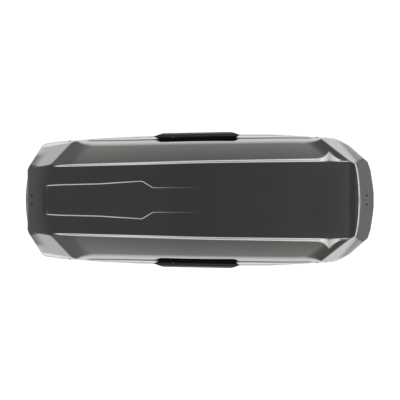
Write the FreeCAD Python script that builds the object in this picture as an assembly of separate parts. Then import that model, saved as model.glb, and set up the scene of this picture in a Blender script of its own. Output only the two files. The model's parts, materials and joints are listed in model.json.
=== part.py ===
"""Roof cargo box that opens from both sides. Millimetres, +Z up, +X towards the rear, +Y to the left of the car
seen from behind the nose. Origin: on the ground plane under the middle of the box."""
import FreeCAD, Part

import math
import os

V = FreeCAD.Vector
os.makedirs("parts", exist_ok=True)

# ---------------------------------------------------------------- driving dimensions
LENGTH = 2200.0            # tip of the nose lip to the tail
WIDTH = 830.0              # over the lid's rim at its widest
CLAW_DROP = 62.0           # ground plane to the underside of the tray
TRAY_DEPTH = 98.0          # underside of the tray to its rim
TRAY_WALL = 4.0
TRAY_FLARE = 56.0          # how far the floor's edge lies inside the rim
TRAY_CHINE = 62.0          # height above the underside where the flared wall turns upright
LID_HEIGHT = 270.0         # parting plane to the highest point of the roof
LID_WALL = 3.0
SKIRT_HEIGHT = 28.0        # the lid's thick bottom flange
SKIRT_LEDGE = 6.0          # how far the flange stands out from the wall
OVERHANG = 26.0            # how far the lid reaches past the tray's rim
RIM_GAP = 2.0              # tray rim below the parting plane
LIP_DEPTH = 8.0            # the soft lip on the nose
LIP_INSET = 57.0           # the lip's ends inside the corners of the nose
SHOULDER_FALL = 0.39       # drop per unit of width on the roof's shoulders
CHANNEL_DEPTH = 5.0        # the recess along the front half of the roof
NOSE_FALL = 0.23           # slope of the roof ahead of the channel
TAIL_FALL = 0.32           # slope of the panel behind the spoiler edge
SPOILER_SETBACK = 112.0    # the spoiler edge ahead of the tail
SPOILER_STEP = 8.0

PIN_R = 4.0                # pivot pins between lid and tray
PIN_FIT = 0.06
PIN_INSET = 19.0           # pin axis inside the widest rim
PIN_RISE = 6.0             # pin axis above the parting plane
CUP_R = 7.5
CUP_LENGTH = 16.0
PIN_XS = (-150.0, 90.0, 330.0)
LATCH_TRAVEL = 20.0
FINGER = 16.0
FINGER_T = 5.0
BAR_W = 10.0
BAR_H = 12.0
LOCK_R = 9.0
LOCK_X = 210.0
CAM_R = LATCH_TRAVEL / (2 * math.sin(math.radians(45)))
CAM_PIN_R = 2.5
CAM_SLOT_GAP = 0.8

GRIP_FRONT_X = -292.0      # the side handles
GRIP_REAR_X = 250.0
GRIP_T = 7.0
GRIP_PIN_R = 2.5
GRIP_KNUCKLE_R = 4.5
GRIP_EAR = 12.0
GRIP_EAR_XS = (-170.0, 130.0)
GRIP_REACH = 16.0          # how far the grip stands out past the rim

BAR_GAP = 80.0             # widest roof bar that the claws close on
CLAW_TRAVEL = 12.0
CLAW_T = 10.0
CLAW_W = 40.0
TOE = 22.0
TOE_T = 8.0
CLAMP_XS = (-320.0, 380.0)
CLAMP_INSET = 165.0        # middle of a clamp inside the widest rim
PAD_T = 6.0
PLATE_T = 3.0
HOUSING_H = 44.0
HOUSING_WALL = 3.0
SCREW_R = 5.0
SCREW_FIT = 0.06
KNOB_R = 21.0
KNOB_L = 30.0
SLOT_GAP = 0.5
MAT_T = 2.0
STRAP_W = 25.0
STRAP_T = 1.6
STRAP_XS = (-120.0, 180.0)
RIVET_R = 5.0
RIVET_RISE = 1.2
TRIM_T = 2.0
TRIM_SKIRT = 6.0           # how far the rim trim reaches down outside the tray
RAIL_T = 10.0

# ---------------------------------------------------------------- derived heights and stations
HALF_L = LENGTH / 2
HALF_W = WIDTH / 2
Z_UNDER = CLAW_DROP
Z_FLOOR = Z_UNDER + TRAY_WALL
Z_RIM = Z_UNDER + TRAY_DEPTH
Z_PART = Z_RIM + RIM_GAP
Z_ROOF = Z_PART + LID_HEIGHT
PIN_Y = HALF_W - PIN_INSET
PIN_Z = Z_PART + PIN_RISE
CLAMP_Y = HALF_W - CLAMP_INSET
SPOILER_X = HALF_L - SPOILER_SETBACK
NOSE_X = -(HALF_L - LIP_DEPTH)

# The outlines below are drawn for this half length and half width. When the box is made longer or wider, the
# stations ahead of and behind the middle go with the nose and the tail, and the half widths go with the rim.
DRAWN_HALF_L = 1100.0
DRAWN_HALF_W = 415.0
MIDDLE = 400.0


def station(x):
    """A drawn station along the box, carried with the nose or the tail."""
    return x if abs(x) < MIDDLE else x + math.copysign(HALF_L - DRAWN_HALF_L, x)


def out(y):
    """A drawn half width, carried with the rim."""
    return y + (HALF_W - DRAWN_HALF_W)


def placed(table):
    """Drawn (station, half width) pairs at the box's own size."""
    return [(station(x), out(y)) for x, y in table]


def stretched(table):
    """Drawn (station, value) pairs, with values that don't depend on the box's width."""
    return [(station(x), value) for x, value in table]


FLANK = placed([(-880.0, 371.0), (-630.0, 390.0), (-380.0, 402.0), (-63.0, 411.0), (250.0, 415.0),
                (440.0, 415.0), (630.0, 405.0), (848.0, 391.0)])
NOSE_HALF = out(190.0)
LIP_HALF = NOSE_HALF - LIP_INSET
TAIL_END = [(HALF_L - 5, out(80.0)), (HALF_L, 0.0)]


def plan(inset=0.0):
    """The lid's outline seen from above, moved inwards by inset."""
    half = [(NOSE_X, NOSE_HALF)] + placed([(-1080.0, 216.0), (-999.0, 345.0), (-974.0, 358.0)]) + FLANK
    half += placed([(886.0, 377.0), (942.0, 347.0), (1060.0, 243.0), (1078.0, 190.0)]) + TAIL_END
    return ring_of(half, inset)


def tray_plan(inset):
    """The same outline with plainer corners, for the tray."""
    half = [(NOSE_X, NOSE_HALF + 6)] + placed([(-985.0, 356.0)]) + FLANK
    half += placed([(942.0, 347.0), (1060.0, 243.0)]) + TAIL_END
    return ring_of(half, OVERHANG + inset)


def ring_of(half, inset):
    ring = half + [(x, -y) for x, y in reversed(half[:-1])]
    return shrink(ring, inset) if inset else ring


def shrink(ring, gap):
    """A closed outline moved inwards by gap, with mitred corners."""
    area = sum(a[0] * b[1] - b[0] * a[1] for a, b in zip(ring, ring[1:] + ring[:1]))
    side = 1.0 if area > 0 else -1.0
    out = []
    for i, p in enumerate(ring):
        a, b = ring[i - 1], ring[(i + 1) % len(ring)]
        d1 = (p[0] - a[0], p[1] - a[1])
        d2 = (b[0] - p[0], b[1] - p[1])
        l1, l2 = math.hypot(*d1), math.hypot(*d2)
        n1 = (-d1[1] / l1 * side, d1[0] / l1 * side)
        n2 = (-d2[1] / l2 * side, d2[0] / l2 * side)
        k = gap / (1 + n1[0] * n2[0] + n1[1] * n2[1])
        out.append((p[0] + (n1[0] + n2[0]) * k, p[1] + (n1[1] + n2[1]) * k))
    return out


def wire_at(ring, z):
    pts = [V(x, y, z) for x, y in ring]
    return Part.makePolygon(pts + pts[:1])


def slab(ring, z0, z1):
    return Part.Face(wire_at(ring, z0)).extrude(V(0, 0, z1 - z0))


def box(x0, x1, y0, y1, z0, z1):
    return Part.makeBox(x1 - x0, y1 - y0, z1 - z0, V(x0, y0, z0))


def rod(p, q, r):
    d = q - p
    return Part.makeCylinder(r, d.Length, p, d)


def along(table, x):
    """Straight-line value of a (x, value) list at x."""
    for (x0, v0), (x1, v1) in zip(table, table[1:]):
        if x <= x1:
            return v0 + (v1 - v0) * (x - x0) / (x1 - x0)
    return table[-1][1]


def mirror_y(shape):
    return shape.mirror(V(0, 0, 0), V(0, 1, 0))


def both(shape):
    return Part.makeCompound([shape, mirror_y(shape)])


def save(name, shape):
    solids = [s for s in shape.Solids if s.Volume > 1]
    shape = solids[0] if len(solids) == 1 else Part.makeCompound(solids)
    assert shape.isValid(), name
    shape.exportStep("parts/%s.step" % name)
    print(name, len(solids), round(shape.Volume), [round(v, 1) for v in (
        shape.BoundBox.XMin, shape.BoundBox.XMax, shape.BoundBox.YMin, shape.BoundBox.YMax,
        shape.BoundBox.ZMin, shape.BoundBox.ZMax)])
    return shape


# ---------------------------------------------------------------- the roof's shape along the box
ROOF = [(-1110, -55 - (1110 - 966) * NOSE_FALL), (-966, -55), (-880, -48), (-630, -28), (-363, -12), (-63, -2),
        (250, 0), (566, -3), (820, -10), (985, -18), (1110, -26)]
ROOF = stretched((x, Z_ROOF + dz) for x, dz in ROOF)
PANEL = placed([(-1110, 205), (-966, 207), (-630, 215), (-63, 230), (314, 235), (566, 239), (1110, 240)])
STEP_W = stretched([(-1110, 6), (-966, 8), (-880, 11), (-630, 18), (250, 20), (566, 23), (1110, 31)])
STEP_H = stretched([(-1110, 1), (-966, 2), (-880, 14), (-630, 21), (250, 26), (1110, 28)])
SHOULDER = placed([(-1110, 334), (-690, 346), (-63, 357), (314, 364), (1110, 364)])
BELT_DROP = 19.0           # shoulder edge to the belt crease on the flank
BELT_W = 24.0
CREASE_W = 8.0


def rim_half(x):
    return along(placed([(-1110, 350)]) + FLANK + placed([(1110, 379)]), x)


def shoulder(x):
    """Half width and height of the shoulder's outer edge."""
    foot = along(PANEL, x) + along(STEP_W, x)
    y = min(along(SHOULDER, x), rim_half(x) - SKIRT_LEDGE - BELT_W)
    z = along(ROOF, x) - along(STEP_H, x) - SHOULDER_FALL * (y - foot)
    return y, z


def section(x, inset):
    """The lid's cross-section at x, moved inwards by inset and open below the parting plane."""
    ys, zs = shoulder(x)
    wall = rim_half(x) - SKIRT_LEDGE
    panel = along(PANEL, x)
    half = [(wall, Z_PART), (ys + BELT_W + CREASE_W, zs - BELT_DROP - 6), (ys + BELT_W, zs - BELT_DROP),
            (ys, zs), (panel + along(STEP_W, x), along(ROOF, x) - along(STEP_H, x)), (panel, along(ROOF, x))]
    half[1] = (min(half[1][0], wall - 2), half[1][1])
    half[2] = (min(half[2][0], wall - 5), half[2][1])
    ring = half + [(-y, z) for y, z in reversed(half)]
    if inset:
        ring = shrink(ring, inset)
        ring[0] = (ring[0][0], Z_PART - 10)
        ring[-1] = (ring[-1][0], Z_PART - 10)
    return Part.makePolygon([V(x, y, z) for y, z in ring + ring[:1]])


def above_plane(px, py, pz, fall_x, fall_y, inset, region):
    """Everything above a sloping plane, inside region (x0, x1, y0, y1)."""
    lower = inset * math.sqrt(1 + fall_x ** 2 + fall_y ** 2)
    x0, x1, y0, y1 = region
    ring = [V(x, y, pz - lower + fall_x * (x - px) + fall_y * (y - py))
            for x, y in ((x0, y0), (x1, y0), (x1, y1), (x0, y1))]
    return Part.Face(Part.makePolygon(ring + ring[:1])).extrude(V(0, 0, 600))


def corner_cuts(inset):
    """The sharp facets at the nose corners and the stepped ones at the tail corners."""
    ahead = (station(-1150), station(-700), out(60), out(460))
    behind = (station(700), station(1150), out(120), out(460))
    front = above_plane(station(-931), out(225), Z_ROOF - 69, 0.248, -0.568, inset, ahead)
    band = above_plane(station(776), out(371), Z_ROOF - 82, -0.367, -0.727, inset, behind)
    shelf = above_plane(station(882), out(356), Z_ROOF - 114, -0.10, -0.50, inset, behind)
    rear = band.common(shelf)
    return [front, mirror_y(front), rear, mirror_y(rear)]


def tail_cut(inset):
    top = along(ROOF, SPOILER_X) - SPOILER_STEP - inset * math.hypot(1, TAIL_FALL)
    x0 = SPOILER_X - inset
    x1 = HALF_L + 40
    pts = [V(x0, 0, Z_ROOF + 80), V(x0, 0, top), V(x1, 0, top - TAIL_FALL * (x1 - x0)), V(x1, 0, Z_ROOF + 80)]
    face = Part.Face(Part.makePolygon(pts + pts[:1]))
    face.translate(V(0, -HALF_W, 0))
    return face.extrude(V(0, WIDTH, 0))


def channel(inset):
    """The recess between the two ribs, fading out towards the middle of the roof."""
    outline = stretched([(-966, 90), (-630, 100.5), (-363, 118), (-295, 76), (-63, 77), (94, 78.5)])
    front, rear = outline[0][0], outline[-1][0]
    wires = []
    for x, w in outline:
        deep = CHANNEL_DEPTH * (rear - x) / (rear - front) + 0.3
        z = along(ROOF, x) - deep - inset
        w = w + inset
        wires.append(Part.makePolygon([V(x, a * w, z + b * 60) for a, b in
                                       ((1, 0), (1, 1), (-1, 1), (-1, 0), (1, 0))]))
    return Part.makeLoft(wires, True, True)


def lid_body(inset):
    """The closed shape of the lid, moved inwards by inset; a positive inset also runs out of the bottom."""
    xs = sorted({p[0] for t in (ROOF, PANEL, STEP_H, FLANK) for p in t})
    body = Part.makeLoft([section(x, inset) for x in xs], True, True)
    floor = Z_PART - (12 if inset else 0)
    body = body.common(slab(plan(SKIRT_LEDGE + inset), floor, Z_ROOF + 50))
    for tool in corner_cuts(inset) + [tail_cut(inset), channel(inset)]:
        body = body.cut(tool)
    return body


def skirt_slab(inset):
    drop = 12 if inset else 0
    return slab(plan(inset), Z_PART - drop, Z_PART + SKIRT_HEIGHT - inset)


outer = lid_body(0).fuse(skirt_slab(0))
inner_walls = lid_body(LID_WALL)
inner = inner_walls.fuse(skirt_slab(LID_WALL))
deeper = lid_body(LID_WALL + RAIL_T)

rivet_xy = stretched([(-1056.0, 28.6), (1047.0, 28.3)]) + placed([(-822.0, 366.0), (739.0, 397.0), (795.0, 392.0)])


def roof_height(x, y):
    """Height of the lid's outside over a point of its plan."""
    probe = outer.common(rod(V(x, y, Z_PART + 1), V(x, y, Z_ROOF + 50), 0.2))
    return max(v.Z for v in probe.Vertexes)


# ---------------------------------------------------------------- lid
lid_shell = outer.cut(inner)
rivets = []
for rx, ry in rivet_xy:
    top = roof_height(rx, ry)
    for side in (1, -1):
        hole = rod(V(rx, side * ry, top - 14), V(rx, side * ry, top + 10), RIVET_R / 2)
        lid_shell = lid_shell.cut(hole)
        stem = rod(V(rx, side * ry, top - 9), V(rx, side * ry, top + RIVET_RISE), RIVET_R / 2)
        head = rod(V(rx, side * ry, top + 0.0), V(rx, side * ry, top + RIVET_RISE), RIVET_R)
        rivets.append(stem.fuse(head).cut(lid_shell))
save("lid_shell", lid_shell)
save("lid_rivets", Part.makeCompound(rivets))

frame = inner_walls.cut(deeper)
rail_z = Z_PART + SKIRT_HEIGHT + 12
rails = frame.common(box(station(-560), station(620), out(200), HALF_W, rail_z, rail_z + 28))
save("lid_rail_left", rails)
save("lid_rail_right", mirror_y(rails))
hoop_z = rail_z + 28
for name, hx in (("front", station(-560.0)), ("middle", -20.0), ("rear", station(580.0))):
    save("lid_hoop_" + name, frame.common(box(hx - 20, hx + 20, -HALF_W, HALF_W, hoop_z, Z_ROOF)))

lip = slab([(-HALF_L, -LIP_HALF + 20), (-HALF_L, LIP_HALF - 20), (NOSE_X, LIP_HALF), (NOSE_X, -LIP_HALF)],
           Z_PART + 4, Z_PART + SKIRT_HEIGHT - 4)
save("nose_lip", lip)


# ---------------------------------------------------------------- pivots between lid and tray
def pivot_pins():
    pins = [rod(V(x - 12, PIN_Y, PIN_Z), V(x + 24, PIN_Y, PIN_Z), PIN_R) for x in PIN_XS]
    return Part.makeCompound(pins)


def pin_ears():
    """Blocks on the inside of the lid's flange that carry the pins."""
    ears = []
    for x in PIN_XS:
        eye = rod(V(x + 14, PIN_Y, PIN_Z), V(x + 24, PIN_Y, PIN_Z), CUP_R - 1)
        web = box(x + 14, x + 24, PIN_Y, HALF_W, PIN_Z - 4, PIN_Z + 12)
        ear = eye.fuse(web).common(skirt_slab(LID_WALL))
        ears.append(ear.cut(rod(V(x + 10, PIN_Y, PIN_Z), V(x + 30, PIN_Y, PIN_Z), PIN_R + PIN_FIT)))
    return Part.makeCompound(ears)


save("pivot_pins_left", pivot_pins())
save("pivot_pins_right", mirror_y(pivot_pins()))
save("pin_ears_left", pin_ears())
save("pin_ears_right", mirror_y(pin_ears()))


# ---------------------------------------------------------------- tray
def tray_body(inset):
    """The tray's outside, or with an inset the space inside it."""
    top = tray_plan(inset)
    low = tray_plan(TRAY_FLARE + inset)
    z0 = Z_FLOOR if inset else Z_UNDER
    z1 = Z_UNDER + TRAY_CHINE
    z2 = Z_RIM + (10 if inset else 0)
    flared = Part.makeLoft([wire_at(low, z0), wire_at(top, z1)], True, True)
    return flared.fuse(slab(top, z1, z2))


def rim_in(x):
    return rim_half(x) - OVERHANG - TRAY_WALL


tray = tray_body(0).cut(tray_body(TRAY_WALL))
PLATE_TOP = Z_FLOOR + PLATE_T
SCREW_Z = PLATE_TOP + HOUSING_H / 2
CLAW_TOP = SCREW_Z + 12
HOUSING_FRONT = BAR_GAP / 2 + 28
HOUSING_REAR = BAR_GAP / 2 + CLAW_TRAVEL + 28
STEM_IN = BAR_GAP / 2 + 6                  # inner face of a closed claw's stem from the clamp's middle
clamp_spots = [(x, side * CLAMP_Y) for x in CLAMP_XS for side in (1, -1)]


def floor_slots():
    slots = []
    for cx, cy in clamp_spots:
        y0, y1 = cy - CLAW_W / 2 - SLOT_GAP, cy + CLAW_W / 2 + SLOT_GAP
        slots.append(box(cx - STEM_IN - CLAW_T - SLOT_GAP, cx - STEM_IN + SLOT_GAP, y0, y1, 0, PLATE_TOP + 1))
        slots.append(box(cx + STEM_IN - SLOT_GAP, cx + STEM_IN + CLAW_T + CLAW_TRAVEL + SLOT_GAP,
                         y0, y1, 0, PLATE_TOP + 1))
    return slots


lock_y = rim_half(LOCK_X) - OVERHANG
LOCK_Z = Z_RIM - 20
BUSH_R = LOCK_R + 2.5
bush_hole = rod(V(LOCK_X, lock_y - 10, LOCK_Z), V(LOCK_X, lock_y + 10, LOCK_Z), BUSH_R)
for tool in floor_slots() + [bush_hole, mirror_y(bush_hole)]:
    tray = tray.cut(tool)
save("tray", tray)

trim = slab(tray_plan(-TRIM_T), Z_RIM - TRIM_SKIRT, Z_RIM + TRIM_T)
trim = trim.cut(slab(tray_plan(0), Z_RIM - 9, Z_RIM))
trim = trim.cut(slab(tray_plan(TRAY_WALL), Z_RIM - 9, Z_RIM + 9))
save("rim_trim", trim)

MAT_HALF = CLAMP_Y - 44
mat = box(station(-860), station(900), -MAT_HALF, MAT_HALF, Z_FLOOR, Z_FLOOR + MAT_T)
save("floor_mat", mat.common(slab(tray_plan(TRAY_FLARE + 12), 0, Z_RIM)))

plates = both(box(CLAMP_XS[0] - 150, CLAMP_XS[1] + 150, CLAMP_Y - 38, CLAMP_Y + 38, Z_FLOOR, PLATE_TOP))
for tool in floor_slots():
    plates = plates.cut(tool)
save("clamp_plates", plates)


# ---------------------------------------------------------------- hooks that hold the pins, and their latch bars
def cups():
    """Open-topped hooks on the tray, reaching out over its rim."""
    made = []
    for x in PIN_XS:
        x0, x1 = x - CUP_LENGTH / 2, x + CUP_LENGTH / 2
        leg_y = rim_in(x) - 6
        eye = rod(V(x0, PIN_Y, PIN_Z), V(x1, PIN_Y, PIN_Z), CUP_R)
        arm = box(x0, x1, leg_y, PIN_Y - 2, PIN_Z - 4, PIN_Z + 2)
        leg = box(x0, x1, leg_y, rim_in(x) + 2, Z_RIM - 34, PIN_Z - 4)
        leg = leg.cut(tray).cut(trim)
        bore = rod(V(x0 - 1, PIN_Y, PIN_Z), V(x1 + 1, PIN_Y, PIN_Z), PIN_R + PIN_FIT)
        mouth = box(x0 - 1, x1 + 1, PIN_Y - PIN_R - PIN_FIT, PIN_Y + PIN_R + PIN_FIT, PIN_Z, PIN_Z + 20)
        level = box(x0 - 1, x1 + 1, PIN_Y - 20, PIN_Y + 20, PIN_Z + PIN_R, PIN_Z + 20)
        cup = eye.fuse([arm, leg])
        for tool in (bore, mouth, level):
            cup = cup.cut(tool)
        made.append(cup)
    return Part.makeCompound(made)


BAR_Y = rim_in(PIN_XS[0]) - 8              # outer face of the latch bar
BAR_Z = Z_RIM - 10
bar_x0 = PIN_XS[0] - 46
bar_x1 = PIN_XS[-1] - 8
GUIDE_XS = (-100.0, 40.0, 280.0)


def latch_bar():
    bar = box(bar_x0, bar_x1, BAR_Y - BAR_W, BAR_Y, BAR_Z, BAR_Z + BAR_H)
    finger_z = PIN_Z + PIN_R + 0.6
    for x in PIN_XS:
        x1 = x - 12 - 4
        post = box(x1 - FINGER, x1, BAR_Y - BAR_W, BAR_Y, BAR_Z, finger_z + FINGER_T)
        reach = box(x1 - FINGER, x1, BAR_Y - BAR_W, PIN_Y + 3, finger_z, finger_z + FINGER_T)
        bar = bar.fuse([post, reach])
    half = CAM_PIN_R + CAM_SLOT_GAP
    middle = LOCK_X - LATCH_TRAVEL / 2
    slot = box(middle - half, middle + half, BAR_Y - BAR_W - 1, BAR_Y + 1, BAR_Z - 1,
               LOCK_Z + CAM_R + CAM_PIN_R + 0.6)
    return bar.cut(slot)


def latch_guides():
    made = []
    for x in GUIDE_XS:
        block = box(x - 7, x + 7, BAR_Y - BAR_W - 4, rim_in(x) + 2, BAR_Z - 5, BAR_Z + BAR_H - 3)
        block = block.cut(tray).cut(trim)
        made.append(block.cut(box(x - 8, x + 8, BAR_Y - BAR_W - 0.3, BAR_Y + 0.3, BAR_Z - 0.3, BAR_Z + 30)))
    return Part.makeCompound(made)


def lock_barrel():
    axis_y0 = BAR_Y + 0.6
    barrel = rod(V(LOCK_X, axis_y0, LOCK_Z), V(LOCK_X, lock_y + 3, LOCK_Z), LOCK_R)
    pin_x, pin_z = LOCK_X - LATCH_TRAVEL / 2, LOCK_Z + LATCH_TRAVEL / 2
    pad = rod(V(pin_x, axis_y0, pin_z), V(pin_x, axis_y0 + 4, pin_z), CAM_PIN_R + 2)
    link = box(-CAM_PIN_R - 2, CAM_PIN_R + 2, 0, 4, 0, CAM_R)
    link.rotate(V(0, 0, 0), V(0, 1, 0), -45)
    link.translate(V(LOCK_X, axis_y0, LOCK_Z))
    pin = rod(V(pin_x, BAR_Y - BAR_W + 2, pin_z), V(pin_x, axis_y0 + 1, pin_z), CAM_PIN_R)
    key_slot = box(LOCK_X - 0.8, LOCK_X + 0.8, lock_y - 4, lock_y + 4, LOCK_Z - 5, LOCK_Z + 5)
    return barrel.fuse([pad, link, pin]).cut(key_slot)


bush = rod(V(LOCK_X, rim_in(LOCK_X), LOCK_Z), V(LOCK_X, lock_y, LOCK_Z), BUSH_R)
bush = bush.fuse(rod(V(LOCK_X, lock_y, LOCK_Z), V(LOCK_X, lock_y + 2, LOCK_Z), LOCK_R + 4)).cut(tray)
bush = bush.cut(rod(V(LOCK_X, lock_y - 20, LOCK_Z), V(LOCK_X, lock_y + 20, LOCK_Z), LOCK_R + PIN_FIT))
for name, shape in (("pin_cups", cups()), ("latch_bar", latch_bar()), ("latch_guides", latch_guides()),
                    ("lock_barrel", lock_barrel()), ("lock_bush", bush)):
    save(name + "_left", shape)
    save(name + "_right", mirror_y(shape))


# ---------------------------------------------------------------- side handles
ys_mid, zs_mid = shoulder(GRIP_REAR_X)
grip_dy = rim_half(GRIP_FRONT_X) - rim_half(GRIP_REAR_X)
grip_dz = shoulder(GRIP_FRONT_X)[1] - zs_mid
HINGE_Y = ys_mid + 22
GRIP_LIFT = 2.0            # the handle's knuckle over the flank


def grip_at(x, y, z):
    """A point of the handle's rear section, carried forwards along the tapering flank."""
    t = (GRIP_REAR_X - x) / (GRIP_REAR_X - GRIP_FRONT_X)
    return V(x, y + grip_dy * t, z + grip_dz * t)


def over_belt(x):
    """How far the flank stands above the straight hinge line through the rear station."""
    ys, zs = shoulder(x)
    line = grip_at(x, HINGE_Y, 0)
    return zs - (line.y - ys) * BELT_DROP / BELT_W - line.z


HINGE_Z = max(over_belt(x) for x in (GRIP_FRONT_X, -63.0, GRIP_REAR_X)) + GRIP_KNUCKLE_R + GRIP_LIFT


def grip_rod(x0, x1, r):
    return rod(grip_at(x0, HINGE_Y, HINGE_Z), grip_at(x1, HINGE_Y, HINGE_Z), r)


def grip():
    reach = HALF_W + GRIP_REACH
    foot = Z_PART + SKIRT_HEIGHT + 8
    outline = [(HINGE_Y, HINGE_Z + GRIP_KNUCKLE_R), (HINGE_Y + 19, HINGE_Z - 2), (reach - 9, HINGE_Z - 31),
               (reach, foot + 57), (reach, foot), (reach - GRIP_T, foot - 3), (reach - GRIP_T - 1, foot + 54),
               (reach - GRIP_T - 9, HINGE_Z - 38), (HINGE_Y + 17, HINGE_Z - 11),
               (HINGE_Y, HINGE_Z - GRIP_KNUCKLE_R)]
    wires = []
    for x in (GRIP_FRONT_X - 20, GRIP_REAR_X + 20):
        pts = [grip_at(x, y, z) for y, z in outline]
        wires.append(Part.makePolygon(pts + pts[:1]))
    body = Part.makeLoft(wires, True, True)
    tips = [(GRIP_FRONT_X + 112, out(345)), (GRIP_FRONT_X, out(399)), (GRIP_FRONT_X + 100, out(437)),
            (GRIP_REAR_X - 98, out(446)), (GRIP_REAR_X, out(410)), (GRIP_REAR_X - 74, out(355))]
    body = body.fuse(grip_rod(GRIP_FRONT_X + 12, GRIP_REAR_X - 12, GRIP_KNUCKLE_R))
    body = body.common(slab(tips, Z_PART, Z_ROOF))
    for x in GRIP_EAR_XS:
        half = GRIP_EAR / 2 + SLOT_GAP
        gap = box(x - half, x + half, HINGE_Y - 30, HINGE_Y + 9, HINGE_Z - 30, HINGE_Z + 30)
        body = body.cut(gap).cut(grip_rod(x - 22, x + 22, GRIP_PIN_R + PIN_FIT))
    return body


def grip_ears():
    made = []
    for x in GRIP_EAR_XS:
        a = grip_at(x - GRIP_EAR / 2, HINGE_Y, HINGE_Z)
        eye = grip_rod(x - GRIP_EAR / 2, x + GRIP_EAR / 2, GRIP_KNUCKLE_R)
        post = box(x - GRIP_EAR / 2, x + GRIP_EAR / 2, a.y - 4, a.y + 4, a.z - 16, a.z)
        made.append(eye.fuse(post).cut(outer).cut(grip_rod(x - 22, x + 22, GRIP_PIN_R)))
    return Part.makeCompound(made)


grip_pins = Part.makeCompound([grip_rod(x - 20, x + 20, GRIP_PIN_R) for x in GRIP_EAR_XS])
for name, shape in (("side_grip", grip()), ("grip_ears", grip_ears()), ("grip_pins", grip_pins)):
    save(name + "_left", shape)
    save(name + "_right", mirror_y(shape))


# ---------------------------------------------------------------- roof bar clamps
def claw(cx, cy, side, open_by):
    """A hook below the floor: side -1 faces the rear from the front, side 1 faces the front from the rear."""
    near, far = cx + side * (STEM_IN + open_by), cx + side * (STEM_IN + CLAW_T + open_by)
    tip = near - side * TOE
    y0, y1 = cy - CLAW_W / 2, cy + CLAW_W / 2
    stem = box(min(near, far), max(near, far), y0, y1, 0, CLAW_TOP)
    toe = box(min(tip, far), max(tip, far), y0, y1, 0, TOE_T)
    bore = rod(V(cx - 200, cy, SCREW_Z), V(cx + 200, cy, SCREW_Z), SCREW_R + 0.3)
    return stem.fuse(toe).cut(bore)


def housing(cx, cy):
    x0, x1 = cx - HOUSING_FRONT, cx + HOUSING_REAR
    shell = box(x0, x1, cy - 34, cy + 34, PLATE_TOP, PLATE_TOP + HOUSING_H)
    w = HOUSING_WALL
    shell = shell.cut(box(x0 + w, x1 - w, cy - 34 + w, cy + 34 - w, PLATE_TOP - 1, PLATE_TOP + HOUSING_H - w))
    return shell.cut(rod(V(x1 - 10, cy, SCREW_Z), V(x1 + 10, cy, SCREW_Z), SCREW_R + SCREW_FIT))


def screw(cx, cy):
    shaft = rod(V(cx - HOUSING_FRONT + 5, cy, SCREW_Z), V(cx + HOUSING_REAR + 6, cy, SCREW_Z), SCREW_R)
    head = rod(V(cx - HOUSING_FRONT + 4, cy, SCREW_Z), V(cx - STEM_IN - CLAW_T - 0.5, cy, SCREW_Z), 9)
    return shaft.fuse(head)


def knob(cx, cy):
    x0 = cx + HOUSING_REAR + 1
    body = rod(V(x0, cy, SCREW_Z), V(x0 + KNOB_L, cy, SCREW_Z), KNOB_R)
    for i in range(8):
        a = 2 * math.pi * i / 8
        y, z = cy + (KNOB_R + 3) * math.cos(a), SCREW_Z + (KNOB_R + 3) * math.sin(a)
        body = body.cut(rod(V(x0 + 6, y, z), V(x0 + KNOB_L + 1, y, z), 6))
    return body.cut(rod(V(x0 - 1, cy, SCREW_Z), V(cx + HOUSING_REAR + 6, cy, SCREW_Z), SCREW_R))


corners = ("front_left", "front_right", "rear_left", "rear_right")
for name, (cx, cy) in zip(corners, clamp_spots):
    save("clamp_claw_" + name, claw(cx, cy, 1, CLAW_TRAVEL))
    save("clamp_screw_" + name, screw(cx, cy))
    save("clamp_knob_" + name, knob(cx, cy))
save("clamp_fixed_claws", Part.makeCompound([claw(cx, cy, -1, 0) for cx, cy in clamp_spots]))
save("clamp_housings", Part.makeCompound([housing(cx, cy) for cx, cy in clamp_spots]))
pad_half = BAR_GAP / 2 - 2
save("clamp_pads", Part.makeCompound([box(cx - pad_half, cx + pad_half, cy - 20, cy + 20, Z_UNDER - PAD_T, Z_UNDER)
                                      for cx, cy in clamp_spots]))


# ---------------------------------------------------------------- straps over the load floor
ANCHOR_Y = CLAMP_Y + 46
STRAP_Z = PLATE_TOP


def strap(x):
    return box(x - STRAP_W / 2, x + STRAP_W / 2, -ANCHOR_Y + 12, ANCHOR_Y - 12, STRAP_Z, STRAP_Z + STRAP_T)


def anchor(x, side):
    y0 = side * (ANCHOR_Y - 12)
    block = box(x - 20, x + 20, min(y0, y0 - side * 12), max(y0, y0 - side * 12), PLATE_TOP, STRAP_Z + 8)
    slot = box(x - STRAP_W / 2 - 0.5, x + STRAP_W / 2 + 0.5, -ANCHOR_Y, ANCHOR_Y, STRAP_Z, STRAP_Z + STRAP_T)
    return block.cut(slot)


def buckle(x):
    body = box(x - 19, x + 19, -32, 32, STRAP_Z + STRAP_T, STRAP_Z + STRAP_T + 9)
    return body.cut(box(x - 12, x + 12, -8, 8, STRAP_Z, STRAP_Z + 30))


save("cargo_straps", Part.makeCompound([strap(x) for x in STRAP_XS]))
save("strap_anchors", Part.makeCompound([anchor(x, side) for x in STRAP_XS for side in (1, -1)]))
save("strap_buckles", Part.makeCompound([buckle(x) for x in STRAP_XS]))

print("heights", Z_UNDER, Z_RIM, Z_PART, Z_ROOF, "pin", PIN_Y, PIN_Z, "bar", BAR_Y, BAR_Z, "lock", lock_y, LOCK_Z)
print("grip hinge", grip_at(GRIP_FRONT_X, HINGE_Y, HINGE_Z), grip_at(GRIP_REAR_X, HINGE_Y, HINGE_Z), "screw", SCREW_Z)
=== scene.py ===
# %% [markdown]
# A roof cargo box in cells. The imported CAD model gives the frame: where every piece is, and which body it moves
# with. Each step below adds the looks of one piece, and says how it could be made and why it was made this way.

# %% Load the frame
import json
import math

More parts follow.
